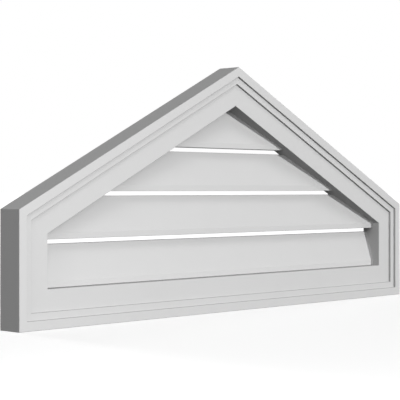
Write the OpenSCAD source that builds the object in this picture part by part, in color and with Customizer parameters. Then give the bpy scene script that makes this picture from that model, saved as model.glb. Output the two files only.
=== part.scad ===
// Peaked gable vent: a mitred moulding frame with four fixed louvres and an open back.
// The vent stands on its bottom rail, its front faces -Y and its flat back goes to the wall.
// Origin: middle of the width and depth, at the underside of the bottom rail.

/* [Frame] */
// Overall width, left edge to right edge
vent_width = 812.8; // [500:0.1:1500]
// Height of the upright outer edge at each side, below the roof slope
eave_height = 152.4; // [110:0.1:500]
// Rise of the roof line for each unit of run
roof_pitch = 0.5; // [0.25:0.01:1]
// Width of the moulding's face
moulding_width = 50.8; // [35:0.1:65]
// Depth of the moulding, front to back
moulding_depth = 38.1; // [34:0.1:60]

/* [Moulding profile] */
// Width of the proud outer band
outer_band = 12.7; // [6:0.1:16]
// Width of the middle band
middle_band = 9.525; // [5:0.025:14]
// Drop from one band to the next one inwards
band_step = 3.175; // [1:0.025:4]

/* [Louvres] */
// Thickness of the louvre board, which is flush with the frame's back
louver_thickness = 19.05; // [12:0.05:22]
// Thickness of a louvre along its top edge, where its face leans back
louver_top_thickness = 7.5; // [4:0.1:11]
// Height of the upright nose along a louvre's lower edge
nose_height = 7.9; // [4:0.1:14]
// Open height between one louvre and the next
louver_gap = 6.1; // [4.5:0.1:12]

/* [Edges] */
// Width of the small flat that breaks each long edge of the moulding and the louvres
eased_edge = 0.4; // [0.2:0.05:0.8]

/* [Hidden] */

vinyl_white = [0.86, 0.86, 0.86];
// Length by which a cutting shape runs past what it trims
overcut = 1;

// Height of the peak above the underside of the bottom rail
vent_height = eave_height + roof_pitch * vent_width / 2;
// A line inset by one unit from a roof slope lies this much lower
slope_drop = sqrt(1 + roof_pitch * roof_pitch);

front_y = -moulding_depth / 2;
back_y = moulding_depth / 2;

// One louvre for each louvre node, at an even pitch from the sill to the opening's peak
louver_count = 4;
opening_height = vent_height - slope_drop * moulding_width - moulding_width;
louver_pitch = opening_height / louver_count;
louver_height = louver_pitch - louver_gap;
// Distance that a louvre's face leans back for each unit of height above its nose
louver_lean = (louver_thickness - louver_top_thickness) / (louver_height - nose_height);

// The outline's corners, inset: bottom left, left eave, peak, right eave, bottom right
function corners(inset) =
    let (half = vent_width / 2 - inset,
         eave = eave_height + (roof_pitch - slope_drop) * inset,
         peak = vent_height - slope_drop * inset)
    [[-half, inset], [-half, eave], [0, peak], [half, eave], [half, inset]];

// The point that lies the eased edge's width from one point towards another
function eased(point, towards) =
    point + eased_edge * (towards - point) / norm(towards - point);

// A section's outline with the corners on its list eased, each by one small flat
function eased_outline(points, sharp = []) =
    let (last = len(points) - 1)
    [for (i = [0 : last])
        let (before = points[i == 0 ? last : i - 1],
             after = points[i == last ? 0 : i + 1])
        each len(search(i, sharp)) > 0 ? [points[i]]
            : [eased(points[i], before), eased(points[i], after)]];

// An outline drawn in the plane of the front, extruded from one depth to another
module front_extrude(from_y, to_y) {
    translate([0, to_y, 0])
        rotate([90, 0, 0])
            linear_extrude(height = to_y - from_y)
                children();
}

// Section of the moulding: outer edge at 0, opening at the full width, front to the left
module moulding_section() {
    middle = outer_band + middle_band;
    polygon(eased_outline([
        [front_y, 0], [front_y, outer_band],
        [front_y + band_step, outer_band], [front_y + band_step, middle],
        [front_y + 2 * band_step, middle], [front_y + 2 * band_step, moulding_width],
        [back_y, moulding_width], [back_y, 0]], [2, 4]));
}

// One length of moulding between two corners of the outline, mitred at both ends
module moulding(start, end) {
    from = corners(0)[start];
    run = corners(0)[end] - from;
    outer = corners(-overcut);
    inner = corners(moulding_width + overcut);
    intersection() {
        translate([from[0], 0, from[1]])
            rotate([0, -atan2(run[1], run[0]), 0])
                translate([-overcut, 0, 0])
                    rotate([90, 0, 90])
                        linear_extrude(height = norm(run) + 2 * overcut)
                            moulding_section();
        front_extrude(front_y - overcut, back_y + overcut)
            polygon([outer[start], outer[end], inner[end], inner[start]]);
    }
}

// Section of a louvre board: flat foot and back, upright nose, leaning face and flat top
module louver_section(height) {
    nose_y = back_y - louver_thickness;
    top_y = nose_y + louver_lean * (height - nose_height);
    polygon(eased_outline([
        [nose_y, 0], [back_y, 0], [back_y, height], [top_y, height], [nose_y, nose_height]], [4]));
}

// One louvre, counted from the sill and trimmed to the opening; the last one fills the peak
module louver(index) {
    height = index < louver_count - 1 ? louver_height : louver_pitch;
    intersection() {
        translate([-vent_width / 2, 0, moulding_width + index * louver_pitch])
            rotate([90, 0, 90])
                linear_extrude(height = vent_width)
                    louver_section(height);
        front_extrude(front_y - overcut, back_y + overcut)
            polygon(corners(moulding_width));
    }
}

module bottom_rail() { color(vinyl_white) moulding(0, 4); }
module left_stile() { color(vinyl_white) moulding(1, 0); }
module left_rafter() { color(vinyl_white) moulding(2, 1); }
module right_rafter() { color(vinyl_white) moulding(3, 2); }
module right_stile() { color(vinyl_white) moulding(4, 3); }
module bottom_louver() { color(vinyl_white) louver(0); }
module lower_louver() { color(vinyl_white) louver(1); }
module upper_louver() { color(vinyl_white) louver(2); }
module peak_louver() { color(vinyl_white) louver(3); }

bottom_rail();
left_stile();
right_stile();
left_rafter();
right_rafter();
bottom_louver();
lower_louver();
upper_louver();
peak_louver();
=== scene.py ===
"""The looks of a peaked gable vent: planed vinyl boards, a studio stage and the camera."""
import math

import bmesh
import bpy
from bpy.props import FloatProperty, FloatVectorProperty, PointerProperty
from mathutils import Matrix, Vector


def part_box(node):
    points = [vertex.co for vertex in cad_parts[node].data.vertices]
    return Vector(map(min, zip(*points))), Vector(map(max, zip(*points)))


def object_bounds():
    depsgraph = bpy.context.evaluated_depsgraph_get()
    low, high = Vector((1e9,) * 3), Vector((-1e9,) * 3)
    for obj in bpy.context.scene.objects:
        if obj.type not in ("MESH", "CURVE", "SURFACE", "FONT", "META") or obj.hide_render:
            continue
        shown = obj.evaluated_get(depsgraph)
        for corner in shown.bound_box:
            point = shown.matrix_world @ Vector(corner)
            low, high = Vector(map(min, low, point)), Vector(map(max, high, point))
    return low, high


bl_info = {
    "name": "Gable vent finish",
    "version": (1, 0, 0),
    "blender": (4, 5, 0),
    "location": "3D View > Sidebar > Gable vent",
    "description": "Finishes the boards of a louvred gable vent and sets a studio stage",
    "category": "Object",
}

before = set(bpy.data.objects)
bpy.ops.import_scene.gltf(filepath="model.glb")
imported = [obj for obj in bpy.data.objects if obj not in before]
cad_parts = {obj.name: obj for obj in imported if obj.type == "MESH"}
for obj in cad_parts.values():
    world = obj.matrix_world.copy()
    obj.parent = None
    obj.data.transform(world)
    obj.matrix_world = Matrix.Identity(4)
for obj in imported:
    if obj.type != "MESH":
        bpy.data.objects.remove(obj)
cad_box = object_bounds()

MM = 0.001

# Middle of the vent, which the lamps point at
MIDDLE = (Vector(cad_box[0]) + Vector(cad_box[1])) / 2
# Angle of the roof slope, from the rise and the run of the left rafter's outer edge
SLOPE = math.atan2(
    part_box("left_rafter")[1][2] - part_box("left_stile")[1][2],
    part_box("left_rafter")[1][0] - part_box("left_rafter")[0][0],
)
# Each length of moulding, and the angle from level at which it runs, seen from the front
MOULDING_ANGLES = {
    "bottom_rail": 0.0,
    "left_stile": math.pi / 2,
    "right_stile": math.pi / 2,
    "left_rafter": SLOPE,
    "right_rafter": -SLOPE,
}
LOUVERS = ("bottom_louver", "lower_louver", "upper_louver", "peak_louver")

# Refractive index of rigid vinyl, as matched to the photograph's dull sheen
VINYL_IOR = 1.5
# How squarely a face looks to the front or back: planed from the first value up, and fully
# milled from the second one down. The milled faces, the sides, steps and reveals, also get a
# darker colour as painted shade.
PLANED_FACING = 0.95
MILLED_AND_SHADED_FACING = 0.75
# How many times their spacing the planer lines are drawn out along the board
PLANER_LINE_STRETCH = 50

# Half the side of the floor, wide enough that no horizon shows
FLOOR_HALF = 40.0
# Colour of the floor where it is seen, and the duller one that lights the vent from below
FLOOR_SEEN = "#DDDDDD"
FLOOR_DULL = "#595959"
# How strongly the floor glows near the vent and, further off, where it meets the white world
FLOOR_GLOW_NEAR = 0.59
FLOOR_GLOW_FAR = 0.82
# Distances from the middle of the floor between which the glow grows
FLOOR_GLOW_START = 0.6
FLOOR_GLOW_END = 2.5
WORLD_WHITE = "#FFFFFF"

# Each distant lamp's bearing to the right of the front, its height and its spread, in degrees
DISTANT_LAMPS = {
    "key": (20.0, 6.2, 3.0),
    "top_fill": (-15.0, 60.0, 25.0),
    "left_fill": (-75.0, 18.0, 25.0),
    "right_fill": (100.0, 7.0, 12.0),
    "back_fill": (175.0, 6.0, 12.0),
}
# How far off the distant lamps stand, which doesn't change their light
LAMP_DISTANCE = 3.0
# Place and side of the square box lamp beside the camera
FRONT_BOX_PLACE = (-1.3, -1.5, 0.6)
FRONT_BOX_SIZE = 1.0

# The camera's frame is moved by these shares of its width, to where the photograph's frame lies
CAMERA_SHIFT = (0.00171, -0.02772)
# Width of the camera's sensor in millimetres, which the lens is given for
SENSOR_WIDTH = 36.0


def linear(hex_colour):
    """A linear RGBA colour from an sRGB hex string such as #DCDCDC."""
    digits = hex_colour.lstrip("#")
    colour = []
    for start in (0, 2, 4):
        value = int(digits[start:start + 2], 16) / 255
        colour.append(value / 12.92 if value <= 0.04045 else ((value + 0.055) / 1.055) ** 2.4)
    return (*colour, 1.0)


def add_node(tree, kind, settings=None, values=None, links=None):
    """Adds a node with its settings, its input values, and its inputs' links from sockets."""
    node = tree.nodes.new(kind)
    for name, value in (settings or {}).items():
        setattr(node, name, value)
    for socket, value in (values or {}).items():
        node.inputs[socket].default_value = value
    for socket, source in (links or {}).items():
        tree.links.new(source, node.inputs[socket])
    return node


def new_tree(owner):
    """An empty node tree on a material or a world, and its output node."""
    owner.use_nodes = True
    owner.node_tree.nodes.clear()
    is_world = isinstance(owner, bpy.types.World)
    kind = "ShaderNodeOutputWorld" if is_world else "ShaderNodeOutputMaterial"
    return owner.node_tree, add_node(owner.node_tree, kind)


def vinyl_board(name, finish, angle):
    """White cellular vinyl trim board, planed on its faces and milled or sawn on its edges.

    The planed faces look smooth, matte and even, with a low sheen and shallow planer lines along
    The milled faces, in the steps, the reveals and the outer edges, cut through the
    closed cells, so they are duller, with a fine open grain. They are also greyer, partly for
    the cut cells and partly as painted shade on these side and recessed faces.
    """
    material = bpy.data.materials.new(name)
    tree, output = new_tree(material)
    place = add_node(tree, "ShaderNodeTexCoord")
    # How far a face is turned away from the board's planed front and back: 0 planed, 1 milled;
    # the milled faces also get a darker colour as painted shade
    facing = add_node(tree, "ShaderNodeNewGeometry")
    axes = add_node(
        tree, "ShaderNodeSeparateXYZ",
        links={"Vector": facing.outputs["True Normal"]},
    )
    squareness = add_node(
        tree, "ShaderNodeMath", {"operation": "ABSOLUTE"},
        links={0: axes.outputs["Y"]},
    )
    milled_and_shaded = add_node(
        tree, "ShaderNodeMapRange",
        values={"From Min": PLANED_FACING, "From Max": MILLED_AND_SHADED_FACING},
        links={"Value": squareness.outputs["Value"]},
    )
    along = add_node(
        tree, "ShaderNodeMapping",
        values={"Rotation": (0.0, angle, 0.0)},
        links={"Vector": place.outputs["Object"]},
    )
    # Cloudy patches, in which the board's white is slightly uneven
    clouds = add_node(
        tree, "ShaderNodeTexNoise",
        values={"Scale": 1 / finish.cloud_size, "Detail": 3.0, "Roughness": 0.55},
        links={"Vector": along.outputs["Vector"]},
    )
    planed_tone = add_node(
        tree, "ShaderNodeMix", {"data_type": "RGBA"},
        values={"A": finish.planed, "B": finish.planed_shade},
        links={"Factor": clouds.outputs["Fac"]},
    )
    # Cut cells, drawn at about twice their real size so that they show
    cells = add_node(
        tree, "ShaderNodeTexNoise",
        values={"Scale": 1 / finish.cell_size, "Detail": 2.0, "Roughness": 0.6},
        links={"Vector": place.outputs["Object"]},
    )
    # Colour of the milled faces: cut-cell grain over a darker colour, which is painted shade on
    # the sides, steps and reveals
    milled_and_shaded_tone = add_node(
        tree, "ShaderNodeMix", {"data_type": "RGBA"},
        values={"A": finish.cut_cells_and_shade, "B": finish.milled_and_shaded},
        links={"Factor": cells.outputs["Fac"]},
    )
    # Planed colour on the front and back faces, the darker painted-shade colour on the milled
    # faces
    tone = add_node(
        tree, "ShaderNodeMix", {"data_type": "RGBA"},
        links={
            "Factor": milled_and_shaded.outputs["Result"],
            "A": planed_tone.outputs["Result"],
            "B": milled_and_shaded_tone.outputs["Result"],
        },
    )
    # Planer lines, drawn out along the board
    stretch = add_node(
        tree, "ShaderNodeMapping",
        values={"Scale": (1 / PLANER_LINE_STRETCH, 1.0, 1.0)},
        links={"Vector": along.outputs["Vector"]},
    )
    planing = add_node(
        tree, "ShaderNodeTexNoise",
        values={"Scale": 1 / finish.planing_size, "Detail": 2.0, "Roughness": 0.5},
        links={"Vector": stretch.outputs["Vector"]},
    )
    relief = add_node(
        tree, "ShaderNodeMix", {"data_type": "FLOAT"},
        links={
            "Factor": milled_and_shaded.outputs["Result"],
            "A": planing.outputs["Fac"],
            "B": cells.outputs["Fac"],
        },
    )
    bump = add_node(
        tree, "ShaderNodeBump",
        values={"Distance": finish.relief_depth},
        links={"Height": relief.outputs["Result"]},
    )
    dullness = add_node(
        tree, "ShaderNodeMapRange",
        values={"To Min": finish.planed_roughness, "To Max": finish.milled_roughness},
        links={"Value": milled_and_shaded.outputs["Result"]},
    )
    surface = add_node(
        tree, "ShaderNodeBsdfPrincipled",
        values={"IOR": VINYL_IOR, "Specular IOR Level": finish.specular},
        links={
            "Base Color": tone.outputs["Result"],
            "Roughness": dullness.outputs["Result"],
            "Normal": bump.outputs["Normal"],
        },
    )
    tree.links.new(surface.outputs["BSDF"], output.inputs["Surface"])
    return material


def dress(node_name, material):
    """Gives one CAD node its material."""
    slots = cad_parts[node_name].material_slots
    for slot in slots:
        slot.material = material
    if not slots:
        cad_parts[node_name].data.materials.append(material)


class VentFinish(bpy.types.PropertyGroup):
    """Colours, sheen and relief of the vinyl boards"""
    planed: FloatVectorProperty(
        name="Planed face",
        description="Colour of the planed faces",
        default=linear("#DCDCDC"), size=4, min=0.0, max=1.0, subtype="COLOR")
    planed_shade: FloatVectorProperty(
        name="Planed face, shade",
        description="Colour of the faint cloudy patches in the planed faces",
        default=linear("#D8D8D8"), size=4, min=0.0, max=1.0, subtype="COLOR")
    # Darker than the planed colour, partly for the cut cells and partly as painted shade on the
    # sides, steps and reveals
    milled_and_shaded: FloatVectorProperty(
        name="Milled face",
        description="Colour of the milled edges and steps",
        default=linear("#C1C1C1"), size=4, min=0.0, max=1.0, subtype="COLOR")
    # Darker still: cut-cell grain, and painted shade on the sides, steps and reveals
    cut_cells_and_shade: FloatVectorProperty(
        name="Cut cells",
        description="Colour down in the cut cells of a milled face",
        default=linear("#B3B3B3"), size=4, min=0.0, max=1.0, subtype="COLOR")
    planed_roughness: FloatProperty(
        name="Planed roughness",
        description="Roughness of the planed faces",
        default=0.45, min=0.0, max=1.0)
    milled_roughness: FloatProperty(
        name="Milled roughness",
        description="Roughness of the milled faces",
        default=0.85, min=0.0, max=1.0)
    specular: FloatProperty(
        name="Gloss level",
        description="Strength of the surface's reflection",
        default=0.5, min=0.0, max=1.0)
    cloud_size: FloatProperty(
        name="Cloud size",
        description="Size of the faint cloudy patches",
        default=60 * MM, unit="LENGTH", precision=4)
    cell_size: FloatProperty(
        name="Cell size",
        description="Size of the cut cells in a milled face",
        default=0.8 * MM, unit="LENGTH", precision=5)
    planing_size: FloatProperty(
        name="Planer line spacing",
        description="Distance between planer lines",
        default=1.6 * MM, unit="LENGTH", precision=5)
    relief_depth: FloatProperty(
        name="Relief depth",
        description="Depth of the planer lines and cut cells",
        default=0.05 * MM, unit="LENGTH", precision=6)


class VentStage(bpy.types.PropertyGroup):
    """Camera and lights of the studio"""
    camera_place: FloatVectorProperty(
        name="Camera place",
        description="Where the camera stands",
        default=(-1.41864, -1.28770, 0.17760), subtype="XYZ", unit="LENGTH")
    camera_turn: FloatProperty(
        name="Camera turn",
        description="How far the camera's aim turns from straight at the front",
        default=math.radians(46.4545), unit="ROTATION")
    lens: FloatProperty(
        name="Lens",
        description="Focal length on a 36 mm sensor",
        default=117.2745, unit="CAMERA")
    key: FloatProperty(
        name="Key light",
        description="Light on a surface that faces the key lamp",
        default=0.55, min=0.0)
    top_fill: FloatProperty(
        name="Top fill",
        description="Light from the soft lamp above",
        default=0.207, min=0.0)
    left_fill: FloatProperty(
        name="Left fill",
        description="Light from the soft lamp at the left",
        default=0.163, min=0.0)
    right_fill: FloatProperty(
        name="Right fill",
        description="Light from the soft lamp at the right, a little behind the front",
        default=0.43, min=0.0)
    back_fill: FloatProperty(
        name="Back fill",
        description="Light from the soft lamp behind",
        default=0.8, min=0.0)
    front_box: FloatProperty(
        name="Front box",
        description="Power of the box lamp beside the camera",
        default=9.4, min=0.0, unit="POWER")
    ambient: FloatProperty(
        name="Ambient",
        description="Strength of the even light all round",
        default=0.04, min=0.0)


def seen_directly(tree):
    """A socket that is 1 for rays that see a surface or the world, and 0 for rays that light it.

    Camera, glossy and transmission rays count as seeing.
    """
    path = add_node(tree, "ShaderNodeLightPath")
    either = add_node(
        tree, "ShaderNodeMath", {"operation": "MAXIMUM"},
        links={0: path.outputs["Is Camera Ray"], 1: path.outputs["Is Glossy Ray"]},
    )
    seen = add_node(
        tree, "ShaderNodeMath", {"operation": "MAXIMUM"},
        links={0: either.outputs["Value"], 1: path.outputs["Is Transmission Ray"]},
    )
    return seen.outputs["Value"]


def add_floor(scene):
    """A wide white floor that keeps a faint, soft shadow of the vent."""
    shape = bmesh.new()
    bmesh.ops.create_grid(shape, x_segments=1, y_segments=1, size=FLOOR_HALF)
    mesh = bpy.data.meshes.new("floor")
    shape.to_mesh(mesh)
    shape.free()
    floor = bpy.data.objects.new("floor", mesh)
    scene.collection.objects.link(floor)
    # Matte white studio paper, without sheen
    material = bpy.data.materials.new("white_paper")
    tree, output = new_tree(material)
    place = add_node(tree, "ShaderNodeTexCoord")
    distance = add_node(
        tree, "ShaderNodeVectorMath", {"operation": "LENGTH"},
        links={"Vector": place.outputs["Object"]},
    )
    # The glow grows with distance, so that the floor meets the white world without a horizon
    strength = add_node(
        tree, "ShaderNodeMapRange",
        values={
            "From Min": FLOOR_GLOW_START, "From Max": FLOOR_GLOW_END,
            "To Min": FLOOR_GLOW_NEAR, "To Max": FLOOR_GLOW_FAR,
        },
        links={"Value": distance.outputs["Value"]},
    )
    glow = add_node(
        tree, "ShaderNodeEmission",
        links={"Strength": strength.outputs["Result"]},
    )
    paper = add_node(tree, "ShaderNodeBsdfDiffuse", values={"Color": linear(FLOOR_SEEN)})
    seen = add_node(
        tree, "ShaderNodeAddShader",
        links={0: paper.outputs["BSDF"], 1: glow.outputs["Emission"]},
    )
    # What the vent is lit by from below: a dull floor, as under a product in a white room
    dull = add_node(tree, "ShaderNodeBsdfDiffuse", values={"Color": linear(FLOOR_DULL)})
    mix = add_node(
        tree, "ShaderNodeMixShader",
        links={0: seen_directly(tree), 1: dull.outputs["BSDF"], 2: seen.outputs["Shader"]},
    )
    tree.links.new(mix.outputs["Shader"], output.inputs["Surface"])
    mesh.materials.append(material)


def add_world(scene, stage):
    """Even light all round, and plain white wherever the world is seen."""
    world = bpy.data.worlds.new("studio")
    scene.world = world
    tree, output = new_tree(world)
    white = linear(WORLD_WHITE)
    ambient = add_node(
        tree, "ShaderNodeBackground",
        values={"Color": white, "Strength": stage.ambient},
    )
    seen = add_node(
        tree, "ShaderNodeBackground",
        values={"Color": white, "Strength": 1.0},
    )
    mix = add_node(
        tree, "ShaderNodeMixShader",
        links={
            0: seen_directly(tree),
            1: ambient.outputs["Background"],
            2: seen.outputs["Background"],
        },
    )
    tree.links.new(mix.outputs["Shader"], output.inputs["Surface"])


def place_lamp(scene, lamp, place):
    """Puts a lamp at a place, aimed at the middle of the vent."""
    holder = bpy.data.objects.new(lamp.name, lamp)
    scene.collection.objects.link(holder)
    holder.location = place
    holder.rotation_mode = "QUATERNION"
    holder.rotation_quaternion = (place - MIDDLE).to_track_quat("Z", "Y")


def add_lamps(scene, stage):
    """The small key lamp, four soft fills and a box lamp beside the camera."""
    for name, (bearing, height, spread) in DISTANT_LAMPS.items():
        lamp = bpy.data.lights.new(name, "SUN")
        # A sun of strength pi lights a white surface that faces it to 1
        lamp.energy = math.pi * getattr(stage, name)
        lamp.angle = math.radians(spread)
        turn, rise = math.radians(bearing), math.radians(height)
        aim = Vector((
            math.sin(turn) * math.cos(rise),
            -math.cos(turn) * math.cos(rise),
            math.sin(rise),
        ))
        place_lamp(scene, lamp, MIDDLE + LAMP_DISTANCE * aim)
    # The key's light ends at the first face that it meets, so that the recesses stay dark
    bpy.data.lights["key"].cycles.max_bounces = 0
    box = bpy.data.lights.new("front_box", "AREA")
    box.size = FRONT_BOX_SIZE
    box.energy = stage.front_box
    place_lamp(scene, box, Vector(FRONT_BOX_PLACE))


def add_camera(scene, stage):
    """The camera, level and to the left of the vent."""
    data = bpy.data.cameras.new("camera")
    data.lens = stage.lens
    data.sensor_width = SENSOR_WIDTH
    data.shift_x, data.shift_y = CAMERA_SHIFT
    camera = bpy.data.objects.new("camera", data)
    scene.collection.objects.link(camera)
    camera.location = stage.camera_place
    camera.rotation_euler = (math.pi / 2, 0.0, -stage.camera_turn)
    scene.camera = camera


class GABLE_OT_moulding(bpy.types.Operator):
    """Finishes the five mitred lengths of moulding, each planed along its own run"""
    bl_idname = "gable.moulding"
    bl_label = "Moulding frame"

    def execute(self, context):
        finish = context.scene.gable_finish
        for node_name, angle in MOULDING_ANGLES.items():
            dress(node_name, vinyl_board(f"planed_vinyl_{node_name}", finish, angle))
        return {"FINISHED"}


class GABLE_OT_louvers(bpy.types.Operator):
    """Finishes the four louvre boards"""
    bl_idname = "gable.louvers"
    bl_label = "Louvre boards"

    def execute(self, context):
        board = vinyl_board("planed_vinyl_louvers", context.scene.gable_finish, 0.0)
        for node_name in LOUVERS:
            dress(node_name, board)
        return {"FINISHED"}


class GABLE_OT_stage(bpy.types.Operator):
    """Sets the floor, the lights and the camera"""
    bl_idname = "gable.stage"
    bl_label = "Stage"

    def execute(self, context):
        scene = context.scene
        stage = scene.gable_stage
        add_floor(scene)
        add_world(scene, stage)
        add_lamps(scene, stage)
        add_camera(scene, stage)
        scene.view_settings.view_transform = "Standard"
        return {"FINISHED"}


class GABLE_PT_panel(bpy.types.Panel):
    """Lists the steps that finish the vent"""
    bl_idname = "GABLE_PT_panel"
    bl_label = "Gable vent"
    bl_space_type = "VIEW_3D"
    bl_region_type = "UI"
    bl_category = "Gable vent"

    def draw(self, context):
        for operator in OPERATORS:
            self.layout.operator(operator.bl_idname)


OPERATORS = (GABLE_OT_moulding, GABLE_OT_louvers, GABLE_OT_stage)
CLASSES = (VentFinish, VentStage, *OPERATORS, GABLE_PT_panel)


def register():
    """Registers the classes and gives each scene its finish and stage values."""
    for cls in CLASSES:
        bpy.utils.register_class(cls)
    bpy.types.Scene.gable_finish = PointerProperty(type=VentFinish)
    bpy.types.Scene.gable_stage = PointerProperty(type=VentStage)


def unregister():
    """Takes the values and the classes away again."""
    del bpy.types.Scene.gable_stage
    del bpy.types.Scene.gable_finish
    for cls in reversed(CLASSES):
        bpy.utils.unregister_class(cls)


def main():
    """Finishes the vent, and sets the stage."""
    register()
    bpy.ops.gable.moulding()
    bpy.ops.gable.louvers()
    bpy.ops.gable.stage()


if __name__ == "__main__":
    main()
